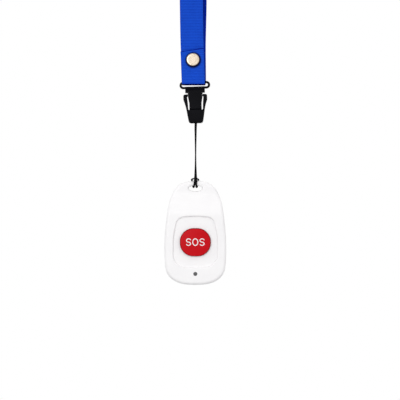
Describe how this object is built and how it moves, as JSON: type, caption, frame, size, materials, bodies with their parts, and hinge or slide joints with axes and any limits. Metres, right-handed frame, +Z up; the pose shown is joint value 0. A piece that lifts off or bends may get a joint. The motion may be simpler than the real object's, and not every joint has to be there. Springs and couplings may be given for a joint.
{
  "type": "bluetooth beacon",
  "caption": "Pebble-shaped wireless beacon pendant with a round-cornered call button, hung by a thin cord and a release buckle from a webbing lanyard loop.",
  "frame": {"origin": "inside top of the strap's hanging loop, straight above the pendant's middle, where a hook or neck carries it", "axes": "+Z up along the hanging strap, +X across the strap to the right, +Y to the back; the button faces -Y"},
  "size_m": [0.037, 0.014, 0.1835],
  "materials": {
    "webbing": "matte",
    "rivet": "polished",
    "ring": "satin",
    "buckle": "satin",
    "cord": "matte",
    "shell": "satin",
    "seal": "matte",
    "button": "satin",
    "light": "gloss",
    "board": "satin",
    "switch": "satin",
    "plunger": "satin",
    "chip": "matte",
    "ceramic_part": "satin",
    "led": "gloss",
    "cell": "satin",
    "contact": "satin",
    "screw": "satin"
  },
  "bodies": {
    "strap": {"strap": "webbing", "rivet_cap": "rivet", "rivet_post": "rivet"},
    "ring": {"ring": "ring"},
    "buckle": {"buckle_top": "buckle", "buckle_base": "buckle", "cord_knot": "cord", "cord_left": "cord", "cord_right": "cord"},
    "pendant": {"front_shell": "shell", "rear_shell": "shell", "shell_seal": "seal", "button_gasket": "seal", "light_pipe": "light", "circuit_board": "board", "switch_body": "switch", "radio_chip": "chip", "chip_antenna": "ceramic_part", "crystal": "contact", "status_led": "led", "coin_cell": "cell", "contact_minus": "contact", "contact_plus": "contact", "cord_hitch": "cord", "shell_screw_1": "screw", "shell_screw_2": "screw", "shell_screw_3": "screw", "shell_screw_4": "screw"},
    "button": {"button_cap": "button", "switch_plunger": "plunger"},
    "door": {"battery_door": "shell", "door_seal": "seal"}
  },
  "joints": [
    {"name": "ring_swing", "type": "hinge", "parent": "strap", "child": "ring", "pos_m": [-0.00035, 0, -0.0613], "axis": [0.9995, 0, 0.0314], "range_deg": [-60, 60]},
    {"name": "buckle_swing", "type": "hinge", "parent": "ring", "child": "buckle", "pos_m": [-0.00025, 0, -0.0645], "axis": [0.9995, 0, 0.0314], "range_deg": [-70, 70]},
    {"name": "pendant_swing", "type": "hinge", "parent": "buckle", "child": "pendant", "pos_m": [0, 0, -0.1173], "axis": [1, 0, 0], "range_deg": [-60, 60]},
    {"name": "button_press", "type": "slide", "parent": "pendant", "child": "button", "axis": [0, 1, 0], "range_m": [0, 0.0005], "stiffness_N_per_m": 600},
    {"name": "battery_door_turn", "type": "hinge", "parent": "pendant", "child": "door", "pos_m": [0, 0.00606, -0.1572], "axis": [0, 1, 0], "range_deg": [0, 45]}
  ]
}
